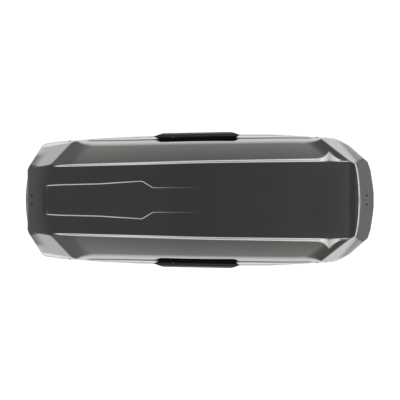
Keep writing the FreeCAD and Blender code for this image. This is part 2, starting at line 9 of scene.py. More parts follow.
import bmesh
import bpy
import numpy as np
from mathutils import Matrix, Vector


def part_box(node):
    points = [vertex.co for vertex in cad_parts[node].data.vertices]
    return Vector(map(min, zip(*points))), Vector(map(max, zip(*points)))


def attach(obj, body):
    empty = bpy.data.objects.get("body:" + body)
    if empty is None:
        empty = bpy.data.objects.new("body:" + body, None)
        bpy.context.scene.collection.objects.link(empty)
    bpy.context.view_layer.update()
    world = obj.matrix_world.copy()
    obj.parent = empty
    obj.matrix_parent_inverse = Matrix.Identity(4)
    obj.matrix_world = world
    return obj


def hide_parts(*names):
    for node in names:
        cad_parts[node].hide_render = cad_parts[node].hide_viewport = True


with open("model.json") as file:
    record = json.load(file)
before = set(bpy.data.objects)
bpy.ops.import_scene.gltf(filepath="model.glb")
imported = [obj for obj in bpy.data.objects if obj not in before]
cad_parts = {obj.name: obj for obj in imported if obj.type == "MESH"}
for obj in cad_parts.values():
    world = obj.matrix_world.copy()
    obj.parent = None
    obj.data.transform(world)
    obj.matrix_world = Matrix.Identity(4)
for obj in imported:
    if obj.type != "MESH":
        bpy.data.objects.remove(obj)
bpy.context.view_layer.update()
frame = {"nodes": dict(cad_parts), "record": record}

nodes = frame["nodes"]
MM = 0.001

# %% [markdown]
# Shader maths reads badly as a list of nodes and links. A small class wraps a socket, so that an ordinary Python
# expression adds the Math nodes, and one method makes any other node from its type, settings and sockets.


# %% Shader helper
class Wire:
    """A shader socket that can be used in Python expressions."""

    def __init__(self, tree, socket):
        self.tree, self.socket = tree, socket

    def node(self, kind, settings=None, output=0, **values):
        """Adds a node. The values go to its sockets by name, or by number as i0 and i1."""
        made = self.tree.nodes.new(kind)
        for key, value in (settings or {}).items():
            if key == "stops":
                fill_ramp(made.color_ramp, value)
            else:
                setattr(made, key, value)
        for key, value in values.items():
            numbered = key[0] == "i" and key[1:].isdigit()
            plug(made.inputs[int(key[1:]) if numbered else key.replace("_", " ")], value)
        return Wire(self.tree, made.outputs[output])

    def math(self, operation, a, b=0.0, clamp=False):
        return self.node("ShaderNodeMath", {"operation": operation, "use_clamp": clamp}, i0=a, i1=b)

    def __add__(self, other):
        return self.math("ADD", self, other)

    def __mul__(self, other):
        return self.math("MULTIPLY", self, other)

    def __sub__(self, other):
        return self.math("SUBTRACT", self, other)

    def __truediv__(self, other):
        return self.math("DIVIDE", self, other)

    def clamp(self):
        return self.math("ADD", self, 0.0, clamp=True)

    def blend(self, low, high):
        """low where this mask is 0 and high where it is 1; low and high are colours."""
        return self.node("ShaderNodeMix", {"data_type": "RGBA"}, output=2, i0=self, i6=low, i7=high)


def plug(target, value):
    """Links a Wire to a socket; anything else is set on it."""
    if isinstance(value, Wire):
        value.tree.links.new(value.socket, target)
    else:
        target.default_value = value


def fill_ramp(ramp, stops):
    """Stops are (place, value) pairs, and a value is a grey or a colour."""
    while len(ramp.elements) > 1:
        ramp.elements.remove(ramp.elements[-1])
    for i, (place, value) in enumerate(stops):
        element = ramp.elements[0] if i == 0 else ramp.elements.new(place)
        element.position = place
        element.color = value if isinstance(value, tuple) else grey(value)


def new_material(name):
    """An empty material with a Principled surface: returns the material, its Principled node and a helper."""
    made = bpy.data.materials.new(name)
    made.use_nodes = True
    tree = made.node_tree
    shader = tree.nodes["Principled BSDF"]
    place = tree.nodes.new("ShaderNodeTexCoord")
    return made, shader, Wire(tree, place.outputs["Object"])


def feed(shader, **values):
    """Plugs values into a node's sockets by name."""
    for key, value in values.items():
        plug(shader.inputs[key.replace("_", " ")], value)


def grey(value):
    return (value, value, value, 1.0)


print("shader helper ready")

# %% [markdown]
# The lid of the real box is one sheet of plastic with a metallic titanium film, so it mirrors its surroundings
# softly: flat faces reflect the dark ceiling and steep faces the bright walls. A painted shader with a little
# diffuse and a high metallic share gives that, where a plain glossy plastic would stay dark on every face. Fine
# noise in the roughness and a very faint orange-peel bump keep the large panels from looking like a flat fill.


# %% Lid material
def titanium_film():
    made, shader, place = new_material("titanium_film")
    flake = place.node("ShaderNodeTexNoise", Vector=place, Scale=900.0, Detail=2.0, Roughness=0.6)
    cloud = place.node("ShaderNodeTexNoise", Vector=place, Scale=3.0, Detail=3.0, Roughness=0.5)
    peel = place.node("ShaderNodeTexNoise", Vector=place, Scale=140.0, Detail=1.0, Roughness=0.5)
    mottle = (flake - 0.5) * 0.12 + (cloud - 0.5) * 0.10 + 0.5
    colour = mottle.clamp().blend((0.205, 0.205, 0.200, 1), (0.320, 0.320, 0.312, 1))
    rough = (cloud - 0.5) * 0.05 + (flake - 0.5) * 0.04 + 0.19
    bump = place.node("ShaderNodeBump", Strength=0.03, Distance=0.0004, Height=peel)
    feed(shader, Base_Color=colour, Roughness=rough, Metallic=0.99, Normal=bump, Coat_Weight=0.05,
         Coat_Roughness=0.12)
    return made


lid_film = titanium_film()
print("lid finish:", lid_film.name)

# %% [markdown]
# The moulded parts are black plastic with a fine spark-eroded grain. A bump from small-scale noise gives the
# grain, and a second, larger noise varies the roughness, because a touched moulding is never evenly matt.


# %% Moulded plastics and rubber
def moulded(name, tone, rough, grain_scale, grain_depth, sheen=0.0, ior=1.45):
    """A low ior gives a black part that hardly mirrors the sky."""
    made, shader, place = new_material(name)
    grain = place.node("ShaderNodeTexNoise", Vector=place, Scale=grain_scale, Detail=2.0, Roughness=0.6)
    wear = place.node("ShaderNodeTexNoise", Vector=place, Scale=9.0, Detail=4.0, Roughness=0.6)
    shade = ((wear - 0.5) * 0.6 + 0.5).clamp().blend(grey(tone * 0.75), grey(tone * 1.3))
    bump = place.node("ShaderNodeBump", Strength=0.35, Distance=grain_depth, Height=grain)
    feed(shader, Base_Color=shade, Roughness=(wear - 0.5) * 0.2 + rough, Normal=bump, Sheen_Weight=sheen,
         Sheen_Roughness=0.5, IOR=ior)
    return made


black_grip = moulded("black_grip", 0.0022, 0.40, 1400.0, 0.0001, ior=1.13)
black_steel = moulded("black_steel", 0.0015, 0.30, 900.0, 0.0001, ior=1.13)
black_trim = moulded("black_trim", 0.020, 0.55, 1100.0, 0.0003)
tray_plastic = moulded("tray_plastic", 0.030, 0.58, 700.0, 0.0005)
liner_plastic = moulded("liner_plastic", 0.050, 0.62, 800.0, 0.0004)
black_rubber = moulded("black_rubber", 0.036, 0.78, 1500.0, 0.0003, sheen=0.1)
thread = moulded("thread_grey", 0.11, 0.80, 2500.0, 0.0002)
print("moulded finishes: grip, steel, trim, tray, liner, rubber, thread")

# %% [markdown]
# The metal parts are a zinc-plated steel with a drawn grain, a bright turned steel for the pins, a plated steel for
# the locks, and a black powder coat for the clamps' hooks. Stretched noise makes the drawn lines, and a coarse round
# bump makes the powder coat.


# %% Metals
def drawn_steel(name, tone, rough):
    made, shader, place = new_material(name)
    stretch = place.node("ShaderNodeMapping", Vector=place, Scale=(8.0, 500.0, 500.0))
    lines = place.node("ShaderNodeTexNoise", Vector=stretch, Scale=1.0, Detail=3.0, Roughness=0.6)
    spangle = place.node("ShaderNodeTexVoronoi", Vector=place, Scale=120.0)
    shade = (lines * 0.6 + spangle * 0.4).clamp().blend(grey(tone * 0.75), grey(tone * 1.15))
    bump = place.node("ShaderNodeBump", Strength=0.12, Distance=0.0002, Height=lines)
    feed(shader, Base_Color=shade, Metallic=1.0, Roughness=(lines - 0.5) * 0.25 + rough, Normal=bump)
    return made


def powder_coat():
    made, shader, place = new_material("powder_coat")
    pebble = place.node("ShaderNodeTexVoronoi", Vector=place, Scale=900.0)
    cloud = place.node("ShaderNodeTexNoise", Vector=place, Scale=14.0, Detail=3.0)
    bump = place.node("ShaderNodeBump", Strength=0.25, Distance=0.0002, Height=pebble)
    feed(shader, Base_Color=cloud.clamp().blend(grey(0.024), grey(0.05)), Roughness=(cloud - 0.5) * 0.2 + 0.48,
         Normal=bump)
    return made


zinc_steel = drawn_steel("zinc_steel", 0.48, 0.38)
bright_steel = drawn_steel("bright_steel", 0.62, 0.24)
plated_lock = drawn_steel("plated_lock", 0.66, 0.20)
powder_black = powder_coat()
print("metals: zinc, bright, plated, powder")

# %% [markdown]
# The webbing's weave is two sine waves across each other in the strap's own place. It feeds the bump and the
# colour together: the colour is painted darker in the valleys between the yarns, as painted shade, so that they
# read even in flat light.


# %% Webbing
def webbing():
    made, shader, place = new_material("webbing_black")
    across = place.node("ShaderNodeTexWave", {"wave_type": "BANDS", "bands_direction": "X"}, Vector=place,
                        Scale=160.0, Distortion=0.4)
    along = place.node("ShaderNodeTexWave", {"wave_type": "BANDS", "bands_direction": "Y"}, Vector=place,
                       Scale=120.0, Distortion=0.4)
    weave = across * along
    bump = place.node("ShaderNodeBump", Strength=0.6, Distance=0.0005, Height=weave)
    # the colour is darker in the weave's valleys: painted shade
    feed(shader, Base_Color=weave.blend(grey(0.010), grey(0.045)), Roughness=0.85, Normal=bump, Sheen_Weight=0.3,
         Sheen_Roughness=0.4)
    return made


strap_web = webbing()
print("webbing:", strap_web.name)

# %% [markdown]
# Every CAD node gets the finish of its slot in the record, so a piece that keeps its CAD mesh is right as well. Only
# the ears and pins of the handles differ: on the real box they are as black as the handles.

# %% Finishes on the nodes
finish_of = {"lid": lid_film, "tray": tray_plastic, "trim": black_trim, "grip": black_grip, "liner": liner_plastic,
             "rubber": black_rubber, "steel": zinc_steel, "claw": powder_black, "pin": bright_steel,
             "lock": plated_lock, "fastener": black_steel, "webbing": strap_web}
for entry in frame["record"]["subparts"]:
    part = nodes[entry["node"]]
    part.data.materials.clear()
    blackened = entry["node"].startswith(("grip_pins", "grip_ears"))
    part.data.materials.append(black_steel if blackened else finish_of[entry["material_slot"]])

# %% [markdown]
# The lid's outer skin is the piece that is seen. It could be the CAD shell with a bevel, but that shell is made of
# straight spans between stations, and a glossy surface shows every join. So the skin is worked out as a height
# over the plan: each panel of the lid is a simple rule in x and y, convex meetings take the lower of two panels
# and concave ones the higher, each with a small rounding. The rows of the mesh follow the long creases, so that
# those stay crisp.

# %% Smooth curves
NOSE_X, TAIL_X = -1.092, 1.100
PART_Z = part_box("lid_shell")[0].z
ROOF_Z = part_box("lid_shell")[1].z
WALL = 3 * MM
LEDGE = 6 * MM
SKIRT_Z = PART_Z + 28 * MM


def natural_curve(points):
    """A natural cubic spline through (x, value) points in millimetres: returns a function in metres."""
    px = np.array([p[0] for p in points]) * MM
    py = np.array([p[1] for p in points]) * MM
    n = len(px)
    step = np.diff(px)
    rows = np.eye(n)
    side = np.zeros(n)
    for i in range(1, n - 1):
        rows[i, i - 1: i + 2] = step[i - 1], 2 * (step[i - 1] + step[i]), step[i]
        side[i] = 6 * ((py[i + 1] - py[i]) / step[i] - (py[i] - py[i - 1]) / step[i - 1])
    bend = np.linalg.solve(rows, side)

    def value(x):
        x = np.asarray(x, float)
        i = np.clip(np.searchsorted(px, x) - 1, 0, n - 2)
        a, b = (px[i + 1] - x) / step[i], (x - px[i]) / step[i]
        curve = (a ** 3 - a) * bend[i] + (b ** 3 - b) * bend[i + 1]
        return a * py[i] + b * py[i + 1] + curve * step[i] ** 2 / 6

    return value


print("lid from", NOSE_X, "to", TAIL_X, "parting plane", round(PART_Z, 4), "roof", round(ROOF_Z, 4))

# %% [markdown]
# The long creases are curves of x: the fall of the roof below its highest point, the half width of the roof panel,
# the width and the height of the step beside it, and the half width at the outer edge of the shoulder. The channel is
# the sunk front part of the roof, and the outline is half of the flange's edge, from the nose to the tail.

# %% Curves along the lid
roof_drop = natural_curve([(-1110, -55), (-966, -52), (-800, -40.5), (-560, -23.5), (-300, -9), (-63, -2),
                           (200, 0), (500, -2), (820, -10), (1000, -19), (1120, -27)])
panel_half = natural_curve([(-1110, 205), (-880, 209), (-630, 215), (-300, 223), (-63, 230), (314, 236),
                            (620, 239), (1110, 240)])
step_base = natural_curve([(-1110, 6), (-880, 9), (-630, 11), (-63, 12), (314, 13), (600, 15), (760, 17),
                           (830, 17), (880, 14), (1110, 12)])
step_drop = natural_curve([(-1110, 0.5), (-960, 4), (-880, 14), (-630, 21), (-63, 24), (314, 26), (1110, 27)])
HOOK_FROM, HOOK_AT, HOOK_TO, HOOK_REACH = 0.690, 0.811, 0.895, 0.030


def step_width(x):
    """Width of the step's face; near the tail it flares out to a hooked tip and runs back in."""
    growing = np.clip((x - HOOK_FROM) / (HOOK_AT - HOOK_FROM), 0, 1) ** 4
    waning = np.clip((HOOK_TO - x) / (HOOK_TO - HOOK_AT), 0, 1) ** 1.3
    return step_base(x) + HOOK_REACH * np.where(x < HOOK_AT, growing, waning)


shoulder_half = natural_curve([(-1110, 384), (-800, 384), (-772, 372), (-745, 359), (-705, 350), (-630, 348),
                               (-250, 354), (94, 360), (400, 364), (640, 365), (705, 367), (738, 375),
                               (768, 388), (800, 396), (1110, 396)])
channel_half = ([-0.990, -0.966, -0.880, -0.630, -0.363, -0.295, -0.063, 0.110],
                [0.0895, 0.0900, 0.0950, 0.1010, 0.1180, 0.0765, 0.0775, 0.0785])

outline = [(NOSE_X, 0.0), (NOSE_X, 0.190), (-1.080, 0.216), (-0.999, 0.345), (-0.974, 0.358), (-0.880, 0.371),
           (-0.630, 0.390), (-0.380, 0.402), (-0.063, 0.411), (0.250, 0.415), (0.440, 0.415), (0.630, 0.405),
           (0.848, 0.391), (0.886, 0.377), (0.942, 0.347), (1.060, 0.243), (1.078, 0.190), (1.095, 0.080),
           (TAIL_X, 0.0)]
print("outline points", len(outline), "channel points", len(channel_half[0]))

# %% [markdown]
# Soft minimum and maximum join two heights with a rounding: inside the blend width they follow a parabola, and
# outside it they are the plain lower or higher value. The blend width is the size of the moulded radius.


# %% Soft joins
def soft_min(a, b, width):
    h = np.clip(0.5 + 0.5 * (b - a) / width, 0, 1)
    return b * (1 - h) + a * h - width * h * (1 - h)


def soft_max(a, b, width):
    return -soft_min(-a, -b, width)


def ease(t):
    t = np.clip(t, 0, 1)
    return t * t * (3 - 2 * t)


def slope(x, y, at, rise_x, rise_y):
    """A flat facet through the point at, which rises by rise_x and rise_y per metre."""
    return at[2] + rise_x * (x - at[0]) + rise_y * (y - at[1])


print("soft minimum of 0 and 0:", soft_min(0.0, 0.0, 0.004))

# %% [markdown]
# The shoulder is a gently bent band, and both of its ends rise to meet the corner facets along a straight line, as on
# the real lid. A plain higher-of-two join would make that line wander, so the shoulder is lifted towards the facet
# instead, most at the line itself and less with the distance from it.

# %% Shoulder and corner facets
SHOULDER_FALL, SHOULDER_BEND = 0.31, 0.50
LIFT_DOWN, LIFT_UP = -0.03, 0.04


def shelf_height(x, y):
    """The shoulder: it falls outwards, a little more at its outer edge than at its foot."""
    out = np.clip(y - panel_half(x) - step_base(x), 0, 0.2)
    return ROOF_Z + roof_drop(x) - step_drop(x) - SHOULDER_FALL * out - SHOULDER_BEND * out ** 2


def meet(x, y, shelf, facet, start, end, reach):
    """Bends the shoulder up so that it meets a facet along the straight line from start to end."""
    run = np.array(end) - np.array(start)
    run = run / np.linalg.norm(run)
    inward = np.array([run[1], -run[0]]) * (1 if start[0] < 0 else -1)
    inward = inward if inward[1] < 0 else -inward
    off = (x - start[0]) * inward[0] + (y - start[1]) * inward[1]
    foot_x, foot_y = x - off * inward[0], y - off * inward[1]
    lift = facet(foot_x, foot_y) - shelf_height(foot_x, foot_y)
    return shelf + np.clip(lift, LIFT_DOWN, LIFT_UP) * np.clip(1 - off / reach, 0, 1.0) ** 2


def front_facet(x, y):
    """The facet at the nose corner; it flares a little where it meets the chamfer of the outline."""
    # the distance inwards from the chamfer's line
    to_edge = ((x + 1.080) * 0.129 - (y - 0.216) * 0.081) / 0.1523
    flare = 2.8 * np.clip(0.062 - to_edge, 0, 0.08) ** 2 * ease((0.325 - y) / 0.05)
    return slope(x, y, (-0.873, 0.289, ROOF_Z - 0.0735), 0.248, -0.568) + flare


def front_skirt(x, y):
    """The steeper strip outside the facet's lower crease."""
    crease = (-0.971, 0.336)
    return slope(x, y, (*crease, float(front_facet(*np.array(crease)))), 0.328, -1.061)


def bent_shelf(x, y):
    """The shoulder with both of its ends bent up to the facets."""
    shelf = shelf_height(x, y)
    front = meet(x, y, shelf, front_facet, (-0.931, 0.2255), (-0.803, 0.362), 0.105)
    rear = meet(x, y, shelf, rear_band, (0.776, 0.371), (0.937, 0.243), 0.078)
    return np.where(x < 0, front, rear)


def rear_band(x, y):
    """The first facet at the tail, a narrow band behind the shoulder."""
    return slope(x, y, (0.937, 0.243, ROOF_Z - 0.0160), -0.268, -0.669)


def rear_corner(x, y):
    """The second facet at the tail, which rolls over towards the chamfer of the outline."""
    flat = slope(x, y, (0.975, 0.247, ROOF_Z - 0.0289), -0.034, -0.469)
    # the distance inwards from the chamfer's line
    to_edge = ((1.060 - x) * 0.104 + (0.243 - y) * 0.118) / 0.1573
    return flat - 1.2 * np.clip(0.040 - to_edge, 0, 0.06) ** 2


print("shoulder at the middle", round(float(shelf_height(0.1, 0.30)), 4))

# %% [markdown]
# The height of the lid joins all the panels. The names below hold the sizes of the features and the radius of each
# moulded edge. A radius is the only thing that tells a sharp crease, as at the facets, from a soft one, as at the
# nose.

# %% Height of the lid
DISH, CHANNEL, RIB_HALF, CROWN = 0.0035, 0.0080, 0.0075, 0.45
CHANNEL_END, CHANNEL_RUN, CHANNEL_START = 0.110, 0.70, -0.985
BELT_FALL, LEDGE_DROP, LEDGE_OUT, LEDGE_FALL = 0.80, 0.0185, 0.023, 0.05
NOSE_FALL, TAIL_FALL, SPOILER_FALL = 0.225, 0.315, 4.0
STEP_HEAD_R, STEP_FOOT_R, BELT_HEAD_R, BELT_FOOT_R = 0.0030, 0.0045, 0.0045, 0.002
NOSE_R, SKIRT_R, FACET_R = 0.012, 0.003, 0.0022
SPOILER_FOOT_R, SPOILER_R, CORNER_R, BAND_R = 0.0025, 0.0020, 0.003, 0.0028


def lid_height(x, y):
    """Height of the lid's outside at plan points; x and y are arrays, and the lid is the same on both sides."""
    y = np.abs(y)
    roof = ROOF_Z + roof_drop(x)
    panel, foot = panel_half(x), panel_half(x) + step_width(x)
    drop = step_drop(x)
    nose_slope = ROOF_Z - 0.052 - NOSE_FALL * (-0.966 - x)
    tail = ROOF_Z - 0.0238 - TAIL_FALL * (x - 0.988) - 0.03 * y ** 2
    # the roof panel is dished a little, and its front half has a sunk channel between two ribs
    dish = -DISH * ease((panel - y) / 0.10) * ease((0.93 - x) / 0.3)
    edge = np.interp(x, *channel_half)
    sunk = CHANNEL * np.clip((CHANNEL_END - x) / CHANNEL_RUN, 0, 1) * ease((x - CHANNEL_START) / 0.04)
    rib = sunk * ease((edge - y) / RIB_HALF + 0.5)
    crown = CROWN * sunk * np.clip(1 - (y / edge) ** 2, 0, 1) ** 0.5
    roof_top = roof + dish - rib + crown + 0.0035 * ease((x - 0.925) / 0.05) ** 2
    # the step down to the shoulder, and the shoulder's fall outwards
    step_face = roof + 0.0015 - (y - panel) * (drop / step_width(x))
    front, band, corner = front_facet(x, y), rear_band(x, y), rear_corner(x, y)
    top = soft_min(roof_top, soft_max(step_face, bent_shelf(x, y), STEP_FOOT_R), STEP_HEAD_R)
    # the belt along the flank ends in a narrow ledge at the head of the wall
    ys = shoulder_half(x)
    zs = bent_shelf(x, ys)
    belt = zs - BELT_FALL * (y - ys)
    ledge = zs - LEDGE_DROP - LEDGE_FALL * (y - ys - LEDGE_OUT)
    top = soft_min(top, soft_max(belt, ledge, BELT_FOOT_R), BELT_HEAD_R)
    # the nose slopes away, and its corners are cut by sharp flat facets
    top = soft_min(top, nose_slope, NOSE_R)
    top = soft_min(top, soft_min(front, front_skirt(x, y), SKIRT_R), FACET_R)
    # the tail: a small spoiler edge, a sloping end panel, and corners that step down twice
    spoiler = 0.996 - 0.38 * y ** 2 - 1.2 * np.clip(y - 0.16, 0, 1) ** 2
    lip = ROOF_Z - 0.0135 - (x - spoiler) * SPOILER_FALL
    top = soft_min(top, soft_max(lip, tail, SPOILER_FOOT_R), SPOILER_R)
    return soft_min(top, soft_max(band, corner, CORNER_R), BAND_R)


def height_at(x, y):
    """The lid's height at one plan point."""
    return float(lid_height(np.array(x), np.array(y)))


print("height at the middle", round(height_at(0.1, 0.0), 4))

# %% [markdown]
# The outline is moved inwards by a given amount, which gives the ring where the wall meets the roof, the foot of the
# wall and the flange. The mesh has columns across the box, closer together at both ends where the facets are.

# %% Outline and columns
FRONT_END, REAR_START, LID_LENGTH = 0.34, 1.80, 2.192
ROOF_INSET, FLANK_OUT, TAIL_HALF = 9 * MM, 28 * MM, 0.045
columns = np.concatenate([np.linspace(0, FRONT_END, 96)[:-1], np.linspace(FRONT_END, REAR_START, 178)[:-1],
                          np.linspace(REAR_START, LID_LENGTH, 112)]) + NOSE_X


def moved_in(gap):
    """The points of the outline's half after the whole outline is moved inwards by gap."""
    ring = np.array(outline + [(x, -y) for x, y in reversed(outline[1:-1])])
    before, after = np.roll(ring, 1, 0), np.roll(ring, -1, 0)
    d1, d2 = ring - before, after - ring
    d1 /= np.linalg.norm(d1, axis=1)[:, None]
    d2 /= np.linalg.norm(d2, axis=1)[:, None]
    n1, n2 = np.stack([d1[:, 1], -d1[:, 0]], 1), np.stack([d2[:, 1], -d2[:, 0]], 1)
    out = ring + (n1 + n2) * (gap / (1 + (n1 * n2).sum(1)))[:, None]
    return out[: len(outline)]


def half_width(x, gap):
    """Places and half widths of the columns, squeezed so that the first and last land on the moved ends."""
    half = moved_in(gap)
    share = (x - NOSE_X) / (TAIL_X - NOSE_X)
    at = half[0, 0] + share * (half[-1, 0] - half[0, 0])
    return at, np.interp(at, half[1:, 0], half[1:, 1])


x_top, y_top = half_width(columns, ROOF_INSET)
flank_top = np.minimum(y_top, shoulder_half(x_top) + FLANK_OUT)
side_share = ease((x_top + 0.985) / 0.06) * ease((0.90 - x_top) / 0.06)
y_top = y_top - (y_top - flank_top) * side_share
y_top[-1] = max(y_top[-1], TAIL_HALF)
print("columns", len(columns), "widest", round(float(y_top.max()), 4))

# %% [markdown]
# The rows follow the channel, the panel edge, the step and the shoulder. Where the lid is narrow, at the very nose and
# tail, there is no room for that, and the rows go over to fixed shares of the width.


# %% Rows along the creases
ROW_SHARES = np.array([0, 0.17, 0.28, 0.50, 0.58, 0.68, 0.86, 0.94, 0.985, 1])
ROW_COUNTS = [9, 7, 13, 5, 7, 24, 7, 4, 2]
FOLLOW_FROM, FOLLOW_OVER = 0.22, 0.08


def knots(x, reach):
    """Row places that follow the creases, kept in order where the lid narrows."""
    edge = np.minimum(np.interp(x, *channel_half), 0.33 * reach)
    panel = np.minimum(panel_half(x), 0.70 * reach)
    foot = np.minimum(panel_half(x) + step_width(x), 0.765 * reach)
    belt = np.minimum(shoulder_half(x), 0.935 * reach)
    foot = np.minimum(foot, belt - 0.040)
    creases = np.stack([0 * x, edge - 0.009, edge + 0.009, panel - 0.010, panel + 0.004, foot + 0.012,
                        belt - 0.010, belt + 0.010, reach - 0.005, reach])
    follow = ease((reach - FOLLOW_FROM) / FOLLOW_OVER)
    return creases * follow + np.outer(ROW_SHARES, reach) * (1 - follow)


spans = knots(x_top, y_top)
half_rows = [low + (high - low) * k / parts for low, high, parts in zip(spans, spans[1:], ROW_COUNTS)
             for k in range(parts)]
half_rows = np.array(half_rows + [y_top])
across = np.concatenate([-half_rows[:0:-1], half_rows])
grid_x = np.broadcast_to(x_top, across.shape)
grid_z = lid_height(grid_x, across)
rows, cols = across.shape
print("skin grid", rows, "x", cols)

# %% [markdown]
# The wall is a stack of rings. Each takes the edge of the roof a share of the way to the foot of the wall, and the
# last ones go out to the flange and down to the parting plane. The first rings are close together, so that they round
# the head of the wall.


# %% Wall and flange
def ring_indices(rows, cols):
    """Indices round the edge of the grid, anticlockwise seen from above."""
    low = [(0, c) for c in range(cols)]
    tail = [(r, cols - 1) for r in range(1, rows)]
    high = [(rows - 1, c) for c in range(cols - 2, -1, -1)]
    nose = [(r, 0) for r in range(rows - 2, 0, -1)]
    return [r * cols + c for r, c in low + tail + high + nose]


def grid_faces(rows, cols, first=0):
    faces = []
    for r in range(rows - 1):
        for c in range(cols - 1):
            a = first + r * cols + c
            faces.append((a, a + 1, a + cols + 1, a + cols))
    return faces


edge_ring = ring_indices(rows, cols)
verts = [np.stack([grid_x.ravel(), across.ravel(), grid_z.ravel()], 1)]
faces = grid_faces(rows, cols)
top_points = verts[0][edge_ring]
count = len(edge_ring)


def offset_ring(gap):
    """The points of the roof's edge carried straight outwards to the outline moved in by gap."""
    at, wide = half_width(columns, gap)
    ring = np.empty((count, 2))
    for i, index in enumerate(edge_ring):
        r, c = divmod(index, cols)
        share = across[r, c] / y_top[c]
        ring[i] = at[c], share * max(wide[c], TAIL_HALF if c == cols - 1 else 0)
    return ring


# shares of the way down and of the way out, from the edge of the roof to the foot of the wall
wall_steps = [(0.010, 0.10), (0.04, 0.18), (0.12, 0.28), (0.35, 0.50), (0.65, 0.76), (0.9, 0.95), (1.0, 1.0)]
# share of the way out, from the foot of the wall to the flange's edge, and the height there
flange_steps = [(0.45, SKIRT_Z + 1.2 * MM), (0.80, SKIRT_Z - 0.2 * MM), (1.0, SKIRT_Z - 2.5 * MM),
                (1.0, PART_Z + 2 * MM), (0.75, PART_Z)]
foot_z = SKIRT_Z + 4 * MM
foot_xy = offset_ring(LEDGE)
flange_xy = offset_ring(0.0)
levels = []
for down, out in wall_steps:
    z = top_points[:, 2] * (1 - down) + foot_z * down
    xy = top_points[:, :2] * (1 - out) + foot_xy * out
    levels.append(np.column_stack([xy, z]))
for out, z in flange_steps:
    xy = foot_xy * (1 - out) + flange_xy * out
    levels.append(np.column_stack([xy, np.full(count, z)]))
print("wall levels", len(levels), "ring points", count)

# %% [markdown]
# The inside of the lid shows when it is open. It is the same surface moved in by the wall's thickness, but it
# needs far fewer faces, so it keeps every fourth column and row. The two skins meet at the flange's underside,
# which closes the shell.


# %% Inner skin and assembly
def add_object(name, data, body, replaced):
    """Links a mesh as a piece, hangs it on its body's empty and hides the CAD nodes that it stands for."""
    made = bpy.data.objects.new(name, data)
    bpy.context.scene.collection.objects.link(made)
    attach(made, body)
    if replaced:
        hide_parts(*replaced)
    return made


def add_piece(name, points, faces, body, replaced, material, smooth=False):
    """Makes a mesh with one finish from points and faces, and adds it as a piece."""
    data = bpy.data.meshes.new(name)
    data.from_pydata([tuple(p) for p in points], [], faces)
    data.validate()
    data.polygons.foreach_set("use_smooth", [smooth] * len(data.polygons))
    data.materials.append(material)
    return add_object(name, data, body, replaced)


INNER_STEP, INNER_END, INNER_HALF, INNER_IN = 4, 13 * MM, 0.38, 4 * MM
for gap, z in ((WALL, PART_Z), (WALL, SKIRT_Z - WALL), (LEDGE + WALL, SKIRT_Z - WALL + 1 * MM)):
    levels.append(np.column_stack([offset_ring(gap), np.full(count, z)]))
start = rows * cols
previous = edge_ring
for level in levels:
    verts.append(level)
    current = list(range(start, start + count))
    for i in range(count):
        j = (i + 1) % count
        faces.append((previous[i], current[i], current[j], previous[j]))
    previous = current
    start += count

keep_r = sorted(set(range(0, rows, INNER_STEP)) | {rows - 1})
keep_c = sorted(set(range(0, cols, INNER_STEP)) | {cols - 1})
inner_x = np.clip(grid_x[np.ix_(keep_r, keep_c)], NOSE_X + INNER_END, TAIL_X - INNER_END)
inner_y = across[np.ix_(keep_r, keep_c)] * (1 - INNER_IN / INNER_HALF)
inner_z = lid_height(inner_x, inner_y) - WALL * 1.25
verts.append(np.stack([inner_x.ravel(), inner_y.ravel(), inner_z.ravel()], 1))
inner_rows, inner_cols = inner_y.shape
inner_ring = [start + i for i in ring_indices(inner_rows, inner_cols)]
for face in grid_faces(inner_rows, inner_cols, start):
    faces.append(tuple(reversed(face)))
# each edge of the coarse inner ring is joined to the stretch of fine points beside it by one face
position = {index: i for i, index in enumerate(edge_ring)}
kept = [position[r * cols + c] for r, c in
        [(keep_r[0], c) for c in keep_c] + [(r, cols - 1) for r in keep_r[1:]] +
        [(keep_r[-1], c) for c in keep_c[-2::-1]] + [(r, 0) for r in keep_r[-2:0:-1]]]
for i in range(len(kept)):
    a, b = kept[i], kept[(i + 1) % len(kept)]
    stretch = range(b if b > a else b + count, a - 1, -1)
    faces.append(tuple([inner_ring[i], inner_ring[(i + 1) % len(kept)]] +
                       [previous[k % count] for k in stretch]))
skin_points = np.concatenate(verts)
lid_skin = add_piece("lid_skin", skin_points, faces, "lid", ["lid_shell"], lid_film, smooth=True)
print("lid skin:", len(lid_skin.data.vertices), "points", len(lid_skin.data.polygons), "faces")

# %% [markdown]
# Three hoops stiffen the lid across its width. They could stay as the CAD's plain bands, but those follow straight
# sections and would show through the finer skin. Here each hoop is swept under the skin itself, as a hat section:
# a raised middle with a flat flange on either side, closed at both ends.

# %% Hoops under the lid
HOOP_FLANGE, HOOP_RISE, HOOP_END = 3 * MM, 9.5 * MM, 4 * MM


def swept_faces(rings, n):
    """Faces of a section with n points swept through a number of rings, closed at both ends."""
    last = (rings - 1) * n
    faces = [tuple(reversed(range(n))), tuple(range(last, last + n))]
    for i in range(rings - 1):
        for k in range(n):
            a, b = i * n + k, i * n + (k + 1) % n
            faces.append((a, b, b + n, a + n))
    return faces


def hoop(name, node):
    """Sweeps the hat section across the lid just under its skin, inside the box of the CAD's hoop."""
    low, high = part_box(node)
    middle, half = (low.x + high.x) / 2, (high.x - low.x) / 2
    profile = [(-half, 0.0), (half, 0.0), (half, HOOP_FLANGE), (half * 0.62, HOOP_FLANGE), (half * 0.5, HOOP_RISE),
               (-half * 0.5, HOOP_RISE), (-half * 0.62, HOOP_FLANGE), (-half, HOOP_FLANGE)]
    reach = float(high.y) - HOOP_END
    stations = np.linspace(-reach, reach, 121)
    points = []
    for y in stations:
        for dx, depth in profile:
            top = height_at(middle + dx, y * 0.992) - WALL * 1.7
            points.append((middle + dx, y, max(top - depth, float(low.z) + 1 * MM)))
    faces = swept_faces(len(stations), len(profile))
    return add_piece(name, points, faces, "lid", [node], liner_plastic)


